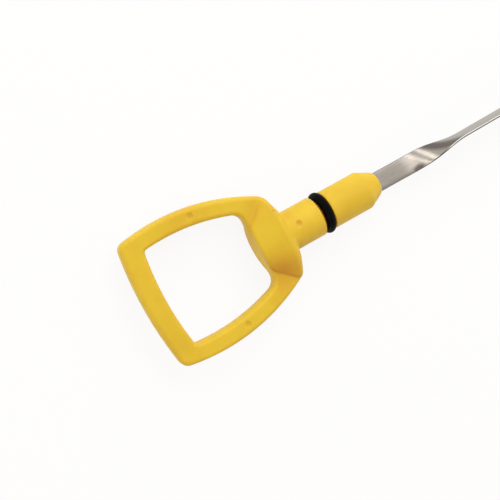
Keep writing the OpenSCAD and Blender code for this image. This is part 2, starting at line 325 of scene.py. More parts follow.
class MarkSizes(bpy.types.PropertyGroup):
    """Sizes of the marks that the mould's ejector pins leave"""

    diameter: size("Diameter", "Diameter of each mark", 0.0026)
    depth: size("Depth", "Depth of the marks on the side bars", 0.0002)
    back: size("Back", "From the seat back to the marks on the side bars", 0.0245)
    neck: size("Neck", "From the seat forward to the mark on the neck", 0.0027)
    neck_side: size("Neck side", "How far the neck's mark lies to one side of the middle", 0.0014)
    neck_depth: size("Neck depth", "Depth of the mark on the neck, which is pressed deeper", 0.0003)


class FinishSettings(bpy.types.PropertyGroup):
    """Colours and surfaces"""

    plastic: tint("Plastic", "Colour of the moulded plastic", (0.75, 0.515, 0.02))
    plastic_deep: tint("Plastic, deep", "Colour of the plastic's slightly deeper patches",
                       (0.705, 0.455, 0.015))
    # Painted shade: a richer, deeper colour laid into the plastic's folds
    plastic_fold_shade: tint("Plastic, folds", "Richer colour of the plastic down in its folds",
                       (0.58, 0.24, 0.004))
    # Painted shade: a deeper tone on the yoke's lower side beside the crease
    shade_patch_place: FloatVectorProperty(
        name="Weld place", description="Middle of the deeper tone where the melt met in the mould",
        default=(-0.0072, -0.0098), size=2, unit="LENGTH")
    shade_patch_reach: size("Weld reach", "How far the deeper tone reaches", 0.011)
    shade_patch_depth: factor("Weld depth", "Strength of the deeper tone", 0.75)
    plastic_roughness: factor("Plastic roughness", "Roughness of the moulded plastic", 0.5)
    rubber: tint("Rubber", "Colour of the sealing ring", (0.0015, 0.0015, 0.0018))
    rubber_bloom: tint("Rubber, bloom", "Colour of the fine bloom on the ring", (0.005, 0.005, 0.0055))
    steel: tint("Steel", "Colour of the drawn steel", (0.44, 0.397, 0.35))
    steel_dark: tint("Steel, dark", "Colour in the drawn lines of the steel", (0.25, 0.226, 0.2))
    # Painted dark reflection over the twist
    steel_dark_reflection: tint("Steel, haze", "Colour of the hazy band over the twist", (0.13, 0.11, 0.095))
    # Burnished and torn halves of the sheared edges, also a painted highlight and a painted dark
    # reflection; the burnished colour also paints the highlight past the nose
    steel_burnished_highlight: tint("Steel, burnished", "Colour of the bright half of the sheared edges",
                          (0.66, 0.63, 0.59))
    steel_torn_dark_reflection: tint("Steel, torn", "Colour of the dull half of the sheared edges",
                     (0.05, 0.043, 0.038))


class StudioSettings(bpy.types.PropertyGroup):
    """Camera, floor and lights"""

    aim: FloatVectorProperty(
        name="Aim", description="Point that the camera looks at, in the shaft frame",
        default=(-0.01238, 0.00072, 0.0), size=3, subtype="TRANSLATION", precision=5)
    distance: size("Distance", "From the aim to the camera", 0.27851)
    azimuth: angle("Azimuth", "Direction of the camera round the loop's normal", 144.34)
    elevation: angle("Elevation", "Height of the camera over the loop's plane", 71.88)
    turn: angle("Turn", "Turn of the camera about its own view", 98.05)
    lens: FloatProperty(
        name="Lens", description="Focal length of the camera in millimetres",
        default=67.69, min=10)
    floor_size: size("Floor size", "Side of the square floor", 6.0)
    fade: FloatVectorProperty(
        name="Fade", description="Distances that the floor fades to plain white between",
        default=(0.35, 1.2), size=2, min=0, unit="LENGTH")
    floor: tint("Floor", "Colour of the floor", (0.96, 0.96, 0.96))
    lamp_colour: tint("Lamp colour", "Colour of the large soft lamps", (0.89, 1.0, 0.95))
    strip_colour: tint("Strip light colour", "Colour of the narrow lamps over the steel",
                       (1.0, 0.98, 0.94))
    fill_colour: tint("Fill colour", "Colour of the even light from all round", (1.0, 0.86, 0.78))
    world_level: FloatProperty(
        name="World level", description="Strength of the even light from all round",
        default=0.57, min=0)


class DipstickSettings(bpy.types.PropertyGroup):
    """All settings of the dipstick"""

    loop: PointerProperty(type=LoopSizes)
    yoke: PointerProperty(type=YokeSizes)
    shaft: PointerProperty(type=ShaftSizes)
    ring: PointerProperty(type=RingSizes)
    blade: PointerProperty(type=BladeSizes)
    marks: PointerProperty(type=MarkSizes)
    finish: PointerProperty(type=FinishSettings)
    studio: PointerProperty(type=StudioSettings)
    rest_roll: angle("Rest roll", "Angle that the part rolls through as it comes to rest", -5.7)
    skin_pitch: size("Skin pitch", "Size of the faces of the handle's skin", 0.00026)
    twist_steps: IntProperty(
        name="Twist steps", description="Steps along the blade's twist",
        default=120, min=12)


def settings():
    """The dipstick's settings in the open scene"""
    return bpy.context.scene.dipstick


# Places along the shaft

def groove_end():
    s = settings().shaft
    return s.neck_length + s.groove_width


def land_end():
    s = settings().shaft
    return groove_end() + s.land_edge + s.plug_land


def nose_end():
    return land_end() + settings().shaft.nose_length


def ring_middle():
    ring = settings().ring
    return groove_end() - ring.thickness / 2 + ring.squash


def laid():
    """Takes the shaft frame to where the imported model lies"""
    axis = PLUG["axis"]
    pitch = math.atan2(-axis[2], axis[0])
    plug_middle = land_end() - settings().shaft.plug_land / 2
    return (Matrix.Translation(PLUG["pos_m"])
            @ Matrix.Rotation(pitch, 4, "Y")
            @ Matrix.Rotation(settings().rest_roll, 4, "X")
            @ Matrix.Translation((-plug_middle, 0, 0)))


# Plane curves

def mix(a, b, share):
    return a + (b - a) * share


def point(x, y):
    return np.array((x, y), float)


def shares(steps):
    return [k / steps for k in range(steps)]


def bend(start, leaving, end, arriving, t):
    """A point on a curve that leaves start along one line and arrives at end along another"""
    gap = end - start
    cross = leaving[0] * arriving[1] - leaving[1] * arriving[0]
    corner = start + leaving * (gap[0] * arriving[1] - gap[1] * arriving[0]) / cross
    return (1 - t) ** 2 * start + 2 * t * (1 - t) * corner + t ** 2 * end


class Arc:
    """A shallow arc from start to end, with places on it at t from 0 to 1"""

    def __init__(self, start, end, bow):
        self.start = start
        self.bow = bow
        self.run = end - start
        self.length = np.linalg.norm(self.run)
        self.aside = np.array((-self.run[1], self.run[0])) / self.length

    def at(self, t):
        return self.start + t * self.run + 4 * self.bow * t * (1 - t) * self.aside

    def direction(self, t):
        return self.run + 4 * self.bow * (1 - 2 * t) * self.aside

    def bend_from(self, leave, end, arriving, t):
        """A point on a curve that leaves this arc at leave and arrives at end along a line"""
        return bend(self.at(leave), self.direction(leave), end, arriving, t)

    def turn_into(self, leave, other, arrive, t):
        """A point on the rounded corner from this arc at leave to another at arrive"""
        return self.bend_from(leave, other.at(arrive), other.direction(arrive), t)


class LoopOutline:
    """The outer edge and the hole's edge of the loop and yoke, on one side of the axis"""

    def __init__(self):
        dip = settings()
        self.loop = loop = dip.loop
        self.yoke = yoke = dip.yoke
        self.slope = loop.lean / (loop.grip_width / 2)
        grip = point(-loop.length, loop.grip_width / 2)
        shoulder = point(-yoke.shoulder_drop, yoke.shoulder_width / 2)
        self.grip_edge = Arc(grip * (1, -1), grip, loop.grip_bow)
        self.side = Arc(grip, shoulder, loop.side_bow)
        self.seat = point(0, dip.shaft.neck_diameter / 2)

        hole_grip = self.hole_at(loop.length - loop.grip_bar)
        hole_yoke = self.hole_at(yoke.length)
        middle = self.hole_at((loop.length - loop.grip_bar + yoke.length) / 2)
        self.hole_side = Arc(hole_grip, hole_yoke, middle[1] - (hole_grip[1] + hole_yoke[1]) / 2)
        self.hole_grip_edge = Arc(hole_grip * (1, -1), hole_grip,
                                  loop.grip_bow * hole_grip[1] / grip[1])

        self.grip_cut = loop.grip_corner / loop.grip_width
        self.side_cut = loop.grip_corner / self.side.length
        self.side_end = 1 - yoke.shoulder_corner / self.side.length
        self.crease = SHOULDER_TURN * yoke.crease_shift / (2 * yoke.shoulder_corner)
        self.hole_grip_cut = loop.hole_corner / (2 * hole_grip[1])
        self.hole_side_cut = loop.hole_corner / self.hole_side.length
        self.hole_side_end = 1 - yoke.hole_corner / self.hole_side.length

        self.shoulder_run = self.seat - shoulder
        self.shoulder_end = (shoulder + self.shoulder_run * yoke.shoulder_corner
                             / np.linalg.norm(self.shoulder_run))
        self.rim_end = hole_yoke - (0, yoke.hole_corner)

    def leaned(self, x, y):
        """A place's x once the loop leans out of square"""
        return x - self.slope * y

    def side_y(self, back):
        """The side's outer edge, at a distance back from the seat"""
        t = (self.loop.length - back) / (self.loop.length - self.yoke.shoulder_drop)
        return self.side.at(t)[1]

    def hole_at(self, back):
        return point(-back, self.side_y(back) - self.loop.side_bar)

    def shoulder_edge(self, t):
        """The shoulder, from the side bar at 0 to the shaft axis at 1"""
        if t < SHOULDER_TURN:
            return self.side.bend_from(self.side_end, self.shoulder_end, self.shoulder_run,
                                       t / SHOULDER_TURN)
        first = SHOULDER_FLAT - SEAT_TURN
        last = SHOULDER_FLAT + SEAT_TURN
        if first < t < last:
            turn = (t - first) / (last - first)
            return ((1 - turn) ** 2 * self.shoulder_run_at(first)
                    + 2 * turn * (1 - turn) * self.seat + turn ** 2 * self.seat_run_at(last))
        return self.shoulder_run_at(t) if t < SHOULDER_FLAT else self.seat_run_at(t)

    def shoulder_run_at(self, t):
        share = (t - SHOULDER_TURN) / (SHOULDER_FLAT - SHOULDER_TURN)
        return mix(self.shoulder_end, self.seat, share)

    def seat_run_at(self, t):
        return self.seat * (1 - t) / (1 - SHOULDER_FLAT)

    def rim(self, y):
        """The hole's edge on the yoke, which swells towards the middle"""
        swell = self.yoke.swell * (1 - (y / self.rim_end[1]) ** 2)
        return point(-self.yoke.length - swell, y)

    def hole_turn(self, t):
        """The hole's corner by the yoke, from the side bar at 0 to the yoke's rise at 1"""
        if t < RIM_TURN:
            return self.hole_side.bend_from(self.hole_side_end, self.rim_end, point(0, -1),
                                            t / RIM_TURN)
        return self.rim(mix(self.rim_end[1], self.yoke.rim_width / 2,
                            (t - RIM_TURN) / (1 - RIM_TURN)))

    def stations(self):
        """Outer point, hole point and rise of each ring, from the grip to the yoke's middle"""
        rings = []
        for t in shares(GRIP_STEPS):
            rings.append((self.grip_edge.at(0.5 + (0.5 - self.grip_cut) * t),
                          self.hole_grip_edge.at(0.5 + (0.5 - self.hole_grip_cut) * t), 0))
        for t in shares(CORNER_STEPS):
            outer = self.grip_edge.turn_into(1 - self.grip_cut, self.side, self.side_cut, t)
            inner = self.hole_grip_edge.turn_into(1 - self.hole_grip_cut, self.hole_side,
                                                  self.hole_side_cut, t)
            rings.append((outer, inner, 0))
        along = SIDE_STEPS + BEND_STEPS
        straight = along - CREASE_STEPS
        for k in range(along):
            if k < straight:
                outer = self.side.at(mix(self.side_cut, self.side_end, k / straight))
            else:
                outer = self.shoulder_edge(self.crease * (k - straight) / CREASE_STEPS)
            if k < SIDE_STEPS:
                inner = self.hole_side.at(
                    mix(self.hole_side_cut, self.hole_side_end, k / SIDE_STEPS))
            else:
                inner = self.hole_turn((k - SIDE_STEPS) / BEND_STEPS)
            rings.append((outer, inner, 0))
        for k in range(YOKE_STEPS + 1):
            turn = math.pi / 2 * k / YOKE_STEPS
            inner = self.rim(self.yoke.rim_width / 2 * math.cos(turn))
            outer = self.shoulder_edge(mix(self.crease, 1, 1 - math.cos(turn)))
            rings.append((outer, inner, math.sin(turn)))
        return rings

    def crease_ends(self, side):
        """The two ends of the crease where the yoke rises from a side bar, at the hole first"""
        outer, inner, _ = self.stations()[-YOKE_STEPS - 1]
        return [point(self.leaned(x, side * y), side * y) for x, y in (inner, outer)]


# Meshes

def add_object(name, data):
    """A new object in the open scene"""
    item = bpy.data.objects.new(name, data)
    bpy.context.scene.collection.objects.link(item)
    return item


def mesh_from(name, form):
    """A new mesh with the shape of a bmesh, which is used up"""
    mesh = bpy.data.meshes.new(name)
    form.to_mesh(mesh)
    form.free()
    return mesh


def bar_section(outer, inner, outer_half, inner_half, outer_radius, inner_radius):
    """A rounded four-cornered section that stands across the bar"""
    width = np.linalg.norm(outer - inner)
    across = (outer - inner) / width
    corners = (
        (width - outer_radius, outer_half - outer_radius, outer_radius),
        (inner_radius, inner_half - inner_radius, inner_radius),
        (inner_radius, inner_radius - inner_half, inner_radius),
        (width - outer_radius, outer_radius - outer_half, outer_radius),
    )
    points = []
    for quarter, (middle, height, radius) in enumerate(corners):
        for k in range(EDGE_STEPS + 1):
            turn = math.pi / 2 * (quarter + k / EDGE_STEPS)
            place = inner + across * (middle + radius * math.cos(turn))
            points.append((place[0], place[1], height + radius * math.sin(turn)))
    return points


def loop_mesh():
    """The finger loop and the yoke, lofted right round the hole"""
    outline = LoopOutline()
    loop = outline.loop
    yoke = outline.yoke
    half = []
    for outer, inner, rise in outline.stations():
        rim_rise = rise ** RIM_POWER
        seat_rise = rise ** yoke.fullness
        half.append(bar_section(
            outer, inner,
            mix(loop.thickness, yoke.thickness, seat_rise) / 2,
            mix(loop.thickness, yoke.rim_thickness, rim_rise) / 2,
            mix(loop.edge_radius, yoke.edge_radius, seat_rise),
            mix(loop.edge_radius, yoke.rim_radius, rim_rise)))
    rings = half + [[(x, -y, z) for x, y, z in ring] for ring in half[-2:0:-1]]
    rings = [[(outline.leaned(x, y), y, z) for x, y, z in ring] for ring in rings]
    return tube_mesh("loop", rings, closed=True)


def tube_mesh(name, rings, closed=False):
    """A skin over rings of points, closed into a hoop or capped at both ends"""
    count = len(rings[0])
    points = [p for ring in rings for p in ring]
    faces = []
    for i in range(len(rings) if closed else len(rings) - 1):
        here = i * count
        there = (i + 1) % len(rings) * count
        for j in range(count):
            k = (j + 1) % count
            faces.append((here + j, there + j, there + k, here + k))
    if not closed:
        faces.append(tuple(range(count)))
        faces.append(tuple(range(len(points) - 1, len(points) - 1 - count, -1)))
    mesh = bpy.data.meshes.new(name)
    mesh.from_pydata(points, [], faces)
    form = bmesh.new()
    form.from_mesh(mesh)
    bmesh.ops.recalc_face_normals(form, faces=form.faces)
    form.to_mesh(mesh)
    form.free()
    return mesh


def rounded_profile(corners):
    """Points of a profile whose corners, given as x, radius from the axis and rounding, are round"""
    places = [np.array(c[:2], float) for c in corners]
    points = []
    for k, here in enumerate(places):
        rounding = corners[k][2]
        if not rounding:
            points.append(here)
            continue
        back = places[k - 1] - here
        on = places[k + 1] - here
        back = back / np.linalg.norm(back)
        on = on / np.linalg.norm(on)
        half = math.acos(np.clip(np.dot(back, on), -1, 1)) / 2
        reach = rounding / math.tan(half)
        middle = here + (back + on) / np.linalg.norm(back + on) * rounding / math.sin(half)
        first = here + back * reach - middle
        last = here + on * reach - middle
        sweep = math.pi - 2 * half
        for step in range(ARC_STEPS + 1):
            t = step / ARC_STEPS
            points.append(middle + (math.sin((1 - t) * sweep) * first + math.sin(t * sweep) * last)
                          / math.sin(sweep))
    return points


def full_turn(steps):
    return [2 * math.pi * k / steps for k in range(steps)]


def turned_mesh(name, profile, hoop=False):
    """A profile turned about the shaft axis: a solid from axis to axis, or a hoop"""
    rings = [[(x, r * math.cos(turn), r * math.sin(turn)) for turn in full_turn(ROUND_STEPS)]
             for x, r in profile]
    return tube_mesh(name, rings, closed=hoop)


def shaft_mesh():
    """The neck, the ring groove, the plug and the nose"""
    s = settings().shaft
    neck = s.neck_diameter / 2
    floor = s.groove_diameter / 2
    plug = s.plug_diameter / 2
    inside = -settings().yoke.edge_radius
    tip = plug - s.nose_length * math.tan(s.nose_slope)
    return turned_mesh("shaft", rounded_profile((
        (inside, AXIS_RADIUS, 0),
        (inside, neck, 0),
        (s.neck_length, neck, s.land_edge),
        (s.neck_length, floor, s.land_edge),
        (groove_end(), floor, s.land_edge),
        (groove_end(), plug, s.land_edge),
        (land_end(), plug, s.nose_edge),
        (nose_end(), tip, s.nose_tip_radius),
        (nose_end(), AXIS_RADIUS, 0))))


def surface_distance(tree, place):
    """Signed distance from a tree's surface to a place, and the way out from the surface"""
    nearest, normal, _, _ = tree.find_nearest(place)
    away = place - nearest
    if away.length < ON_SURFACE:
        return 0.0, normal
    if away.dot(normal) < 0:
        return -away.length, -away.normalized()
    return away.length, away.normalized()


def settle(mesh, forms, fillet):
    """Draws each point of a skin onto the forms, with a fillet where two of them meet"""
    trees = []
    for form in forms:
        points = [v.co for v in form.vertices]
        trees.append(BVHTree.FromPolygons(points, [tuple(p.vertices) for p in form.polygons]))
    for vertex in mesh.vertices:
        place = vertex.co.copy()
        for _ in range(SETTLE_ROUNDS):
            (a, out_a), (b, out_b) = (surface_distance(tree, place) for tree in trees)
            share = min(max(0.5 + 0.5 * (b - a) / fillet, 0.0), 1.0)
            away = mix(b, a, share) - fillet * share * (1 - share)
            out = out_b * (1 - share) + out_a * share
            if out.length < NO_WAY:
                break
            place -= out.normalized() * away
        vertex.co = place


def skin_over(forms, pitch):
    """One closed skin over several forms"""
    joined = bmesh.new()
    for form in forms:
        joined.from_mesh(form)
    rough = add_object("skin", mesh_from("skin", joined))
    remesh = rough.modifiers.new("skin", "REMESH")
    remesh.mode = "VOXEL"
    remesh.voxel_size = pitch
    return applied(rough)


def applied(rough):
    """The mesh of an object with its modifiers applied, with the object taken away"""
    bpy.context.view_layer.update()
    graph = bpy.context.evaluated_depsgraph_get()
    mesh = bpy.data.meshes.new_from_object(rough.evaluated_get(graph))
    bpy.data.objects.remove(rough)
    return mesh


def cut_away(mesh, cutters):
    """The mesh with each cutter's space taken out of it"""
    rough = add_object("rough", mesh)
    tools = [add_object("cutter", cutter) for cutter in cutters]
    for tool in tools:
        cut = rough.modifiers.new("cut", "BOOLEAN")
        cut.operation = "DIFFERENCE"
        cut.solver = "EXACT"
        cut.object = tool
    result = applied(rough)
    for tool in tools:
        bpy.data.objects.remove(tool)
    return result


def fill_creases(mesh):
    """Fills the creases where the yoke rises from the side bars, with soft fillets"""
    outline = LoopOutline()
    places = np.empty(3 * len(mesh.vertices))
    mesh.vertices.foreach_get("co", places)
    places = places.reshape(-1, 3)
    edges = np.empty(2 * len(mesh.edges), int)
    mesh.edges.foreach_get("vertices", edges)
    edges = edges.reshape(-1, 2)
    near = np.zeros(len(places))
    for side in (1, -1):
        first, last = outline.crease_ends(side)
        run = last - first
        share = np.clip((places[:, :2] - first) @ run / (run @ run), 0, 1)
        gap = np.linalg.norm(places[:, :2] - first - share[:, None] * run, axis=1)
        near = np.maximum(near, np.clip(2 - 2 * gap / outline.yoke.crease_fill, 0, 1))
    height = np.abs(places[:, 2])
    smooth = height.copy()
    count = np.bincount(edges.ravel(), minlength=len(places))
    for _ in range(CREASE_ROUNDS):
        total = (np.bincount(edges[:, 0], smooth[edges[:, 1]], len(places))
                 + np.bincount(edges[:, 1], smooth[edges[:, 0]], len(places)))
        smooth += near * (total / count - smooth)
    filled = np.maximum(height, smooth)
    places[:, 2] = np.where(places[:, 2] < 0, -filled, filled)
    mesh.vertices.foreach_set("co", places.ravel())
    mesh.update()


def mark_places():
    """Places of the ejector pins' marks on the side bars and the neck"""
    marks = settings().marks
    outline = LoopOutline()
    bar_y = outline.side_y(marks.back) - outline.loop.side_bar / 2
    bars = [(outline.leaned(-marks.back, side * bar_y), side * bar_y) for side in (1, -1)]
    return bars + [(marks.neck, marks.neck_side)]


def press_marks(mesh):
    """Sinks the ejector pins' marks into the side bars and the neck, set a little askew"""
    marks = settings().marks
    radius = marks.diameter / 2
    for x, y in mark_places():
        out = Vector((0, 0, 1))
        depth = marks.depth
        if x > 0:
            out = Vector((0, y, settings().shaft.neck_diameter / 2)).normalized()
            depth = marks.neck_depth
        for vertex in mesh.vertices:
            if vertex.co.z < 0:
                continue
            off_x = vertex.co.x - x
            off_y = vertex.co.y - y
            gap = radius - math.hypot(off_x, off_y)
            if gap <= 0:
                continue
            toward = 0.5 + (off_x + off_y) / (2 * math.sqrt(2) * radius)
            soft = radius * mix(MARK_SOFT, MARK_CRISP, min(max(toward, 0), 1))
            share = min(gap / soft, 1)
            vertex.co -= out * depth * share * share * (3 - 2 * share)


def shade_smooth(mesh, sharp):
    """Smooth shading, with edges kept sharp past an angle in degrees"""
    form = bmesh.new()
    form.from_mesh(mesh)
    for face in form.faces:
        face.smooth = True
    for edge in form.edges:
        edge.smooth = len(edge.link_faces) < 2 or edge.calc_face_angle() < math.radians(sharp)
    form.to_mesh(mesh)
    form.free()


def place_piece(name, mesh, sharp, material, node):
    """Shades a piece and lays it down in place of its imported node"""
    shade_smooth(mesh, sharp)
    mesh.name = name
    mesh.transform(laid())
    mesh.materials.clear()
    mesh.materials.append(material)
    piece = add_object(name, mesh)
    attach(piece, BODY)
    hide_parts(node)


# The steel strip

def strip_section(blade, width):
    """Section of the strip with its long corners rounded, as places across and through"""
    half = blade.thickness / 2 - blade.crown
    middle = width / 2 - blade.corner
    points = []
    for side in (1, -1):
        for height, first in ((blade.corner - half, -0.5), (half - blade.corner, 0)):
            for k in range(STRIP_CORNER_STEPS + 1):
                turn = math.pi * (first + 0.5 * k / STRIP_CORNER_STEPS)
                points.append((side * (middle + blade.corner * math.cos(turn)),
                               side * (height + blade.corner * math.sin(turn))))
            if first:
                points.append((side * width / 2, 0.0))
        for k in range(1, FACE_STEPS):
            share = 2 * k / FACE_STEPS - 1
            points.append((-side * middle * share,
                           side * (half + blade.crown * (1 - share * share))))
    return points


class BladeLine:
    """Where the blade's middle runs, how far it has turned and how wide it is"""

    def __init__(self):
        self.blade = settings().blade
        self.start = nose_end() + self.blade.twist_start
        self.end = self.start + self.blade.twist_length
        self.root = nose_end() - self.blade.root
        self.tip = nose_end() + self.blade.reach

    def past_twist(self, x):
        run = max(0.0, x - self.start)
        if run < self.blade.twist_length:
            return run * run / (2 * self.blade.twist_length)
        return run - self.blade.twist_length / 2

    def drift(self, x):
        share = self.past_twist(x) / self.past_twist(self.tip)
        return self.blade.tail_bow * math.sin(math.pi * share)

    def turn(self, x):
        t = min(max((x - self.start) / self.blade.twist_length, 0), 1)
        return self.blade.twist * t * t * (3 - 2 * t)

    def width(self, x):
        """Width of the strip, drawn in round the corners of its tip"""
        radius = self.blade.tip_radius
        past = max(0.0, x - (self.tip - radius))
        drawn_in = radius - math.sqrt(max(radius * radius - past * past, 0.0))
        return self.blade.width - 2 * drawn_in

    def ring(self, x, width):
        """The strip's section, of a width, stood up at x"""
        cos = math.cos(self.turn(x))
        sin = math.sin(self.turn(x))
        return [(x, self.drift(x) + across * cos + through * sin, through * cos - across * sin)
                for across, through in strip_section(self.blade, width)]

    def stations(self):
        round_start = self.tip - self.blade.tip_radius
        xs = []
        for first, last, steps in ((self.root, self.start, ROOT_STEPS),
                                   (self.start, self.end, settings().twist_steps),
                                   (self.end, round_start, TAIL_STEPS)):
            xs += list(np.linspace(first, last, steps, endpoint=False))
        for k in range(TIP_STEPS + 1):
            xs.append(round_start + self.blade.tip_radius * math.sin(math.pi / 2 * k / TIP_STEPS))
        return xs

    def hole_cutter(self, x):
        """A round cutter for a level hole through the strip at x"""
        radius = self.blade.level_diameter / 2
        form = bmesh.new()
        bmesh.ops.create_cone(form, cap_ends=True, segments=HOLE_STEPS, radius1=radius,
                              radius2=radius, depth=2 * self.blade.thickness)
        place = Matrix.Translation((x, self.drift(x), 0))
        turn = Matrix.Rotation(-self.turn(x), 4, "X")
        bmesh.ops.transform(form, matrix=place @ turn, verts=form.verts)
        return mesh_from("level hole", form)


def blade_mesh():
    """The strip with its quarter twist, rounded tip and two level holes"""
    line = BladeLine()
    blade = line.blade
    mesh = tube_mesh("blade", [line.ring(x, line.width(x)) for x in line.stations()])
    add_strip_coordinates(mesh, line)
    backs = (blade.level_low, blade.level_low + blade.level_gap)
    return cut_away(mesh, [line.hole_cutter(line.tip - back) for back in backs])


def add_strip_coordinates(mesh, line):
    """A UV map that runs along and across the strip, in metres"""
    layer = mesh.uv_layers.new(name="strip")
    for face in mesh.polygons:
        x, y, z = face.center
        turn = line.turn(x)
        upper = (y - line.drift(x)) * math.sin(turn) + z * math.cos(turn) > 0
        for index in face.loop_indices:
            x, y, z = mesh.vertices[mesh.loops[index].vertex_index].co
            turn = line.turn(x)
            across = (y - line.drift(x)) * math.cos(turn) - z * math.sin(turn)
            layer.data[index].uv = (x, across + (FACE_SHIFT if upper else 0))


def pocket_cutter():
    """The space in the nose that the strip's root fills"""
    line = BladeLine()
    ends = (line.root, nose_end() + MM)
    return tube_mesh("pocket", [line.ring(x, line.blade.width) for x in ends])


# Materials

def rgba(colour):
    return (colour[0], colour[1], colour[2], 1.0)


class Nodes:
    """The nodes of a new material or of the world, built up from none"""

    def __init__(self, owner):
        self.owner = owner
        owner.use_nodes = True
        self.tree = owner.node_tree
        self.tree.nodes.clear()

    def add(self, kind, values=None, **options):
        """Adds a node, sets its options, and gives its sockets values or links"""
        node = self.tree.nodes.new("ShaderNode" + kind)
        for name, value in options.items():
            setattr(node, name, value)
        for socket, value in (values or {}).items():
            if isinstance(value, bpy.types.NodeSocket):
                self.tree.links.new(value, node.inputs[socket])
            else:
                node.inputs[socket].default_value = value
        return node

    def finish(self, shader, output="OutputMaterial"):
        """Shows the node whose first output is the finished shader"""
        self.add(output, {"Surface": shader.outputs[0]})
        return self.owner

    def math(self, operation, a, b=0.0):
        return self.add("Math", {0: a, 1: b}, operation=operation).outputs[0]

    def plus(self, a, b):
        return self.math("ADD", a, b)

    def minus(self, a, b):
        return self.math("SUBTRACT", a, b)

    def times(self, a, b):
        return self.math("MULTIPLY", a, b)

    def larger(self, a, b):
        return self.math("MAXIMUM", a, b)

    def off(self, value, middle=None):
        """Distance of a value from a middle, or from 0"""
        return self.math("ABSOLUTE", value if middle is None else self.minus(value, middle))

    def parts(self, vector):
        return self.add("SeparateXYZ", {0: vector}).outputs

    def length(self, vector):
        return self.add("VectorMath", {0: vector}, operation="LENGTH").outputs["Value"]

    def flat_length(self, x, y):
        return self.length(self.add("CombineXYZ", {0: x, 1: y}).outputs[0])

    def remap(self, value, span, levels, kind="LINEAR"):
        """Takes a value's span to a pair of levels"""
        return self.add("MapRange", {
            "Value": value, "From Min": span[0], "From Max": span[1],
            "To Min": levels[0], "To Max": levels[1],
        }, interpolation_type=kind).outputs["Result"]

    def fade(self, value, span, levels=(0, 1)):
        """Goes softly from one level to another while a value crosses a span"""
        return self.remap(value, span, levels, "SMOOTHSTEP")

    def noise(self, vector, scale, detail=3.0, roughness=0.5):
        return self.add("TexNoise", {
            "Vector": vector, "Scale": scale, "Detail": detail, "Roughness": roughness,
        }).outputs["Fac"]

    def stretched(self, vector, scale):
        return self.add("Mapping", {"Vector": vector, "Scale": scale}).outputs["Vector"]

    def blend(self, share, a, b):
        """A mix of two colours"""
        return self.add("Mix", {"Factor": share, 6: a, 7: b}, data_type="RGBA").outputs[2]

    def bump(self, height, distance, strength, normal=None):
        values = {"Height": height, "Distance": distance, "Strength": strength}
        if normal is not None:
            values["Normal"] = normal
        return self.add("Bump", values).outputs["Normal"]

    def shaft_place(self):
        """Object coordinates turned back into the shaft frame"""
        back = laid().inverted()
        return self.add("Mapping", {
            "Vector": self.add("TexCoord").outputs["Object"],
            "Location": back.to_translation(),
            "Rotation": back.to_euler(),
        }).outputs["Vector"]

    def sight_rays(self):
        """One for rays that show the background itself, to the camera or in gloss or glass"""
        path = self.add("LightPath").outputs
        seen = self.larger(path["Is Camera Ray"], path["Is Glossy Ray"])
        return self.larger(seen, path["Is Transmission Ray"])


def plastic_painted_shade(nodes, parts):
    """Share of painted shade in the plastic's colour: in its folds, in a patch on the yoke's lower
    side, along a crease and in the marks
    """
    finish = settings().finish
    x, y, z = parts
    # Painted shade: a soft patch of deeper colour on the yoke's lower side
    off_shade_patch = nodes.flat_length(nodes.minus(x, finish.shade_patch_place[0]),
                                 nodes.minus(y, finish.shade_patch_place[1]))
    shade_patch = nodes.fade(off_shade_patch, (0, finish.shade_patch_reach), (finish.shade_patch_depth, 0))
    near_shade_patch = nodes.fade(off_shade_patch, (0.5 * finish.shade_patch_reach, finish.shade_patch_reach), (1, 0))
    # Painted shade: a dark line along the lower crease
    first, last = LoopOutline().crease_ends(-1)
    across = (last - first)[::-1] * (-1, 1) / np.linalg.norm(last - first)
    crease_at = nodes.plus(nodes.times(x, across[0]), nodes.times(y, across[1]))
    crease = nodes.fade(nodes.off(crease_at, first @ across), CREASE_SHADE_FADE, (CREASE_SHADE_TINT, 0))
    shade_patch = nodes.larger(shade_patch, nodes.times(crease, near_shade_patch))
    # Painted shade: the colour deepens where the plastic's folds close in
    open_sky = nodes.add("AmbientOcclusion", {"Distance": FOLD_SHADE_REACH}, samples=8,
                         only_local=True).outputs["AO"]
    fold_shade = nodes.times(nodes.remap(open_sky, FOLD_SHADE_FADE, (FOLD_SHADE_TINT, 0)),
                       nodes.fade(nodes.off(x), SEAT_FADE, (SEAT_SHADE_SHARE, 1)))
    deep = nodes.times(nodes.larger(shade_patch, fold_shade), nodes.fade(nodes.off(z), THICK_FADE))
    above = nodes.math("GREATER_THAN", z, 0)
    # Painted shade in each mark, towards its crisp side on the upper face
    for mark_x, mark_y in mark_places():
        off_mark = nodes.flat_length(nodes.minus(x, mark_x + MARK_SHADE_SHIFT),
                                     nodes.minus(y, mark_y + MARK_SHADE_SHIFT))
        depth = NECK_MARK_SHADE if mark_x > 0 else BAR_MARK_SHADE
        deep = nodes.larger(deep, nodes.times(nodes.fade(off_mark, MARK_FADE, (depth, 0)), above))
    return deep


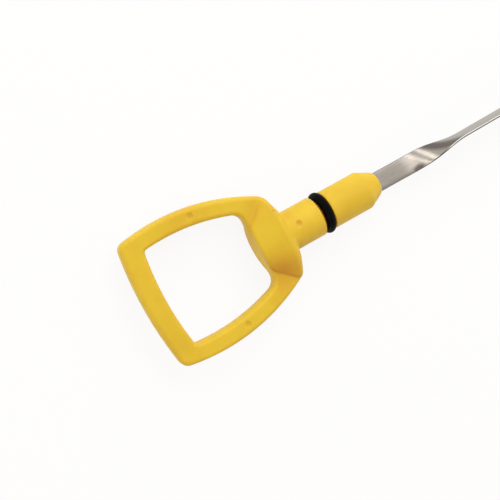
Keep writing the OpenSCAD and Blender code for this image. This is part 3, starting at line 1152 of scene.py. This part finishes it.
def moulded_plastic():
    """Satin yellow plastic with painted shade, a deeper colour, in folds and marks, and a fine mould
    texture
    """
    finish = settings().finish
    nodes = Nodes(bpy.data.materials.new("moulded yellow plastic"))
    place = nodes.shaft_place()
    parts = nodes.parts(place)
    patches = nodes.fade(nodes.noise(place, scale=90), NOISE_UPPER)
    colour = nodes.blend(patches, rgba(finish.plastic), rgba(finish.plastic_deep))
    # Painted shade: deeper colour in folds, beside the lower crease and in the marks
    colour = nodes.blend(plastic_painted_shade(nodes, parts), colour, rgba(finish.plastic_fold_shade))
    parting = nodes.fade(nodes.off(parts["Z"]), PARTING_FADE, (1, 0))
    waves = nodes.noise(place, scale=260, detail=2)
    grain = nodes.noise(place, scale=3800, detail=4, roughness=0.6)
    normal = nodes.bump(waves, distance=0.00006, strength=0.5)
    normal = nodes.bump(grain, distance=0.00002, strength=0.35, normal=normal)
    normal = nodes.bump(parting, distance=0.00005, strength=0.6, normal=normal)
    level = finish.plastic_roughness
    return nodes.finish(nodes.add("BsdfPrincipled", {
        "Base Color": colour,
        "Roughness": nodes.remap(nodes.noise(place, scale=700, detail=4), NOISE_SPAN,
                                 (level - 0.05, level + 0.06)),
        "IOR": 1.49,
        "Specular IOR Level": 0.5,
        "Subsurface Weight": 0.3,
        "Subsurface Radius": (1.0, 0.45, 0.15),
        "Subsurface Scale": 0.0012,
        "Normal": normal,
    }))


def sealing_rubber():
    """Smooth black rubber with a fine bloom and its mould's flash line"""
    finish = settings().finish
    nodes = Nodes(bpy.data.materials.new("black sealing rubber"))
    place = nodes.shaft_place()
    bloom = nodes.remap(nodes.noise(place, scale=500, detail=4), BLOOM_SPAN, (0, BLOOM_TINT))
    off_middle = nodes.off(nodes.parts(place)["X"], ring_middle())
    flash = nodes.fade(off_middle, FLASH_FADE, (1, 0))
    normal = nodes.bump(nodes.noise(place, scale=5200), distance=0.00002, strength=0.5)
    normal = nodes.bump(flash, distance=0.00004, strength=0.6, normal=normal)
    return nodes.finish(nodes.add("BsdfPrincipled", {
        "Base Color": nodes.blend(bloom, rgba(finish.rubber), rgba(finish.rubber_bloom)),
        "Roughness": nodes.remap(nodes.noise(place, scale=1500), NOISE_SPAN, (0.42, 0.56)),
        "IOR": 1.5,
        "Specular IOR Level": 0.04,
        "Normal": normal,
    }))


def strip_places(nodes, place):
    """Places on the strip's map: along it from the nose, across it, and whether on the upper face"""
    parts = nodes.parts(place)
    upper = nodes.math("GREATER_THAN", parts["Y"], FACE_SHIFT / 2)
    across = nodes.minus(parts["Y"], nodes.times(upper, FACE_SHIFT))
    return nodes.minus(parts["X"], nose_end()), across, upper


def twist_dark_reflection(nodes, along, across):
    """Share of painted dark reflection on the strip: a slanting band over its twist, one edge before
    it, and a spot
    """
    blade = settings().blade
    past = nodes.minus(along, blade.dark_reflection)
    slanted = nodes.plus(past, nodes.times(across, DARK_REFLECTION_SLANT))
    band = nodes.fade(nodes.off(slanted), BAND_FADE, (BAND_TINT, 0))
    edge = nodes.fade(across, (-blade.width / 2, -blade.width / 4), (EDGE_DARK_REFLECTION_TINT, 0))
    before = nodes.fade(past, EDGE_DARK_REFLECTION_FADE, (1, 0))
    off_spot = nodes.flat_length(
        nodes.math("DIVIDE", nodes.minus(along, blade.spot_along), blade.spot_length),
        nodes.math("DIVIDE", nodes.minus(across, blade.spot_across), blade.spot_width))
    spot = nodes.fade(off_spot, SPOT_FADE, (SPOT_TINT, 0))
    return nodes.larger(nodes.larger(band, nodes.times(edge, before)), spot)


def root_shades(nodes, along, across):
    """Shares of darker steel next to the nose and of a painted highlight past it"""
    nose_darkening = nodes.times(nodes.fade(along, NOSE_DARKENING_FADE, (NOSE_DARKENING_TINT, 0)),
                         nodes.fade(across, NOSE_DARKENING_SIDE, (NOSE_DARKENING_SHARE, 1)))
    # Painted highlight: lighter steel past the nose, on the upper side
    off_painted_highlight = nodes.off(along, PAINTED_HIGHLIGHT_PLACE)
    painted_highlight = nodes.times(nodes.fade(off_painted_highlight, PAINTED_HIGHLIGHT_FADE, (PAINTED_HIGHLIGHT_TINT, 0)),
                         nodes.fade(across, PAINTED_HIGHLIGHT_SIDE))
    return nose_darkening, painted_highlight


def sheared_edges_and_reflections(nodes, along, across, upper):
    """Shares of burnished and of torn steel on the strip's two long edges, also a painted highlight on
    the upper face's half past the band and a painted dark reflection elsewhere
    """
    blade = settings().blade
    edge = nodes.fade(nodes.off(across), (blade.width / 2 - blade.corner,
                                          blade.width / 2 - EDGE_FULL * blade.corner))
    first, last = EDGE_HIGHLIGHT_FADE
    past_dark_reflection = nodes.fade(along, (blade.dark_reflection + first, blade.dark_reflection + last))
    burnished_highlight = nodes.times(edge, nodes.times(upper, past_dark_reflection))
    return burnished_highlight, nodes.minus(edge, burnished_highlight)


def drawn_steel():
    """Bright steel strip with fine lines drawn along it, with painted dark reflections over the twist
    and painted highlights
    """
    finish = settings().finish
    nodes = Nodes(bpy.data.materials.new("drawn steel strip"))
    place = nodes.add("UVMap", uv_map="strip").outputs["UV"]
    lines = nodes.noise(nodes.stretched(place, LINES), scale=1.0, detail=5, roughness=0.65)
    broad = nodes.noise(nodes.stretched(place, BROAD_LINES), scale=1.0)
    along, across, upper = strip_places(nodes, place)
    nose_darkening, painted_highlight = root_shades(nodes, along, across)
    burnished_highlight, torn_dark_reflection = sheared_edges_and_reflections(nodes, along, across, upper)
    colour = rgba(finish.steel)
    # Tones over the steel: drawn lines, darker steel by the nose, a painted highlight, painted dark
    # reflections, and burnished and torn edges that also paint highlight and dark reflection
    for share, tone in ((nodes.remap(lines, NOISE_UPPER, LINES_TINT), finish.steel_dark),
                        (nose_darkening, finish.steel_dark),
                        (painted_highlight, finish.steel_burnished_highlight),
                        (twist_dark_reflection(nodes, along, across), finish.steel_dark_reflection),
                        (burnished_highlight, finish.steel_burnished_highlight),
                        (torn_dark_reflection, finish.steel_torn_dark_reflection)):
        colour = nodes.blend(share, colour, rgba(tone))
    normal = nodes.bump(lines, distance=0.000012, strength=0.45)
    normal = nodes.bump(broad, distance=0.00003, strength=0.3, normal=normal)
    tangent = nodes.add("Tangent", direction_type="UV_MAP", uv_map="strip")
    return nodes.finish(nodes.add("BsdfPrincipled", {
        "Base Color": colour,
        "Metallic": 1.0,
        "Roughness": nodes.remap(nodes.noise(place, scale=180, detail=4), NOISE_SPAN,
                                 (0.17, 0.27)),
        "Anisotropic": 0.35,
        "Tangent": tangent.outputs["Tangent"],
        "Normal": normal,
    }))


def studio_floor():
    """Pale floor that keeps a soft shadow and shows near white"""
    studio = settings().studio
    nodes = Nodes(bpy.data.materials.new("pale studio floor"))
    place = nodes.add("TexCoord").outputs["Object"]
    tone = nodes.remap(nodes.noise(place, scale=3, detail=2), NOISE_SPAN, (0, 1))
    softer = [FLOOR_TONE * c for c in studio.floor]
    colour = nodes.blend(tone, rgba(studio.floor), rgba(softer))
    matt = nodes.add("BsdfDiffuse", {"Color": colour})
    glow = nodes.add("Emission", {"Color": WHITE, "Strength": 1.0})
    glow_share = nodes.fade(nodes.length(place), studio.fade, (FLOOR_GLOW, 1))
    share = nodes.times(nodes.sight_rays(), glow_share)
    return nodes.finish(nodes.add("MixShader", {0: share, 1: matt.outputs[0], 2: glow.outputs[0]}))


# Operators

class DIPSTICK_OT_handle(bpy.types.Operator):
    """Builds the moulded handle: finger loop, yoke, neck, plug and nose"""

    bl_idname = "dipstick.handle"
    bl_label = "Handle"

    def execute(self, context):
        forms = (loop_mesh(), shaft_mesh())
        skin = skin_over(forms, settings().skin_pitch)
        settle(skin, forms, settings().yoke.seat_fillet)
        fill_creases(skin)
        press_marks(skin)
        skin = cut_away(skin, [pocket_cutter()])
        place_piece("handle_moulding", skin, HANDLE_SHARP, moulded_plastic(), "handle")
        return {"FINISHED"}


class DIPSTICK_OT_sealing_ring(bpy.types.Operator):
    """Builds the rubber ring that sits in the groove"""

    bl_idname = "dipstick.sealing_ring"
    bl_label = "Sealing ring"

    def execute(self, context):
        dip = settings()
        radius = dip.ring.thickness / 2
        floor = dip.shaft.groove_diameter / 2
        profile = []
        for turn in full_turn(RING_STEPS):
            profile.append((min(ring_middle() + radius * math.cos(turn), groove_end()),
                            max(floor + radius - dip.ring.squash + radius * math.sin(turn), floor)))
        mesh = turned_mesh("ring", profile, hoop=True)
        place_piece("sealing_ring", mesh, RING_SHARP, sealing_rubber(), "o_ring")
        return {"FINISHED"}


class DIPSTICK_OT_blade(bpy.types.Operator):
    """Builds the twisted steel blade with its level holes"""

    bl_idname = "dipstick.blade"
    bl_label = "Blade"

    def execute(self, context):
        place_piece("blade_strip", blade_mesh(), BLADE_SHARP, drawn_steel(), "blade")
        return {"FINISHED"}


class DIPSTICK_OT_studio(bpy.types.Operator):
    """Sets the floor, the lights, the camera and the view"""

    bl_idname = "dipstick.studio"
    bl_label = "Studio"

    def execute(self, context):
        studio = settings().studio
        self.lay_floor(studio)
        self.fill(context.scene, studio)
        self.light(studio)
        self.aim_camera(context.scene, studio)
        context.scene.view_settings.view_transform = "Standard"
        return {"FINISHED"}

    def lay_floor(self, studio):
        half = studio.floor_size / 2
        level = packed_box[0][2]
        mesh = bpy.data.meshes.new("floor")
        corners = [(x * half, y * half, level) for x, y in ((-1, -1), (1, -1), (1, 1), (-1, 1))]
        mesh.from_pydata(corners, [], [(0, 1, 2, 3)])
        mesh.materials.append(studio_floor())
        add_object("floor", mesh)

    def fill(self, scene, studio):
        """Even light from all round, behind which the background shows white"""
        scene.world = scene.world or bpy.data.worlds.new("studio")
        nodes = Nodes(scene.world)
        seen = nodes.sight_rays()
        nodes.finish(nodes.add("Background", {
            "Color": nodes.blend(seen, rgba(studio.fill_colour), WHITE),
            "Strength": nodes.remap(seen, (0, 1), (studio.world_level, 1)),
        }), "OutputWorld")

    def light(self, studio):
        """Sets up the soft boxes, which all point at the origin"""
        for name, place, box_size, level, colour, shows in LAMPS:
            lamp = bpy.data.lights.new(name, "AREA")
            lamp.shape = "RECTANGLE"
            lamp.size, lamp.size_y = box_size
            lamp.color = getattr(studio, colour)
            lamp.energy = level * math.pi ** 2 * Vector(place).length_squared
            box = add_object(name, lamp)
            box.location = place
            box.visible_glossy = shows
            box.rotation_euler = Vector(place).to_track_quat("Z", "Y").to_euler()

    def aim_camera(self, scene, studio):
        view = (Matrix.Rotation(studio.azimuth + math.pi / 2, 4, "Z")
                @ Matrix.Rotation(math.pi / 2 - studio.elevation, 4, "X")
                @ Matrix.Rotation(studio.turn, 4, "Z"))
        back = Matrix.Translation((0, 0, studio.distance))
        data = bpy.data.cameras.new("camera")
        data.lens = studio.lens
        data.clip_start = CAMERA_CLIP
        scene.camera = add_object("camera", data)
        scene.camera.matrix_world = laid() @ Matrix.Translation(studio.aim) @ view @ back


class DIPSTICK_PT_panel(bpy.types.Panel):
    """Lists the dipstick's pieces and settings"""

    bl_idname = "DIPSTICK_PT_panel"
    bl_label = "Dipstick"
    bl_space_type = "VIEW_3D"
    bl_region_type = "UI"
    bl_category = "Dipstick"

    def draw(self, context):
        for operator in OPERATORS:
            self.layout.operator(operator.bl_idname)
        for name in DipstickSettings.__annotations__:
            group = getattr(context.scene.dipstick, name)
            box = self.layout.box()
            if isinstance(group, bpy.types.PropertyGroup):
                for setting in group.__annotations__:
                    box.prop(group, setting)
            else:
                box.prop(context.scene.dipstick, name)


OPERATORS = (
    DIPSTICK_OT_handle, DIPSTICK_OT_sealing_ring, DIPSTICK_OT_blade, DIPSTICK_OT_studio,
)
CLASSES = (
    LoopSizes, YokeSizes, ShaftSizes, RingSizes, BladeSizes, MarkSizes, FinishSettings,
    StudioSettings, DipstickSettings, *OPERATORS, DIPSTICK_PT_panel,
)


def register():
    for cls in CLASSES:
        bpy.utils.register_class(cls)
    bpy.types.Scene.dipstick = PointerProperty(type=DipstickSettings)


def unregister():
    del bpy.types.Scene.dipstick
    for cls in reversed(CLASSES):
        bpy.utils.unregister_class(cls)


def main():
    register()
    bpy.ops.dipstick.studio()
    bpy.ops.dipstick.handle()
    bpy.ops.dipstick.sealing_ring()
    bpy.ops.dipstick.blade()


if __name__ == "__main__":
    main()
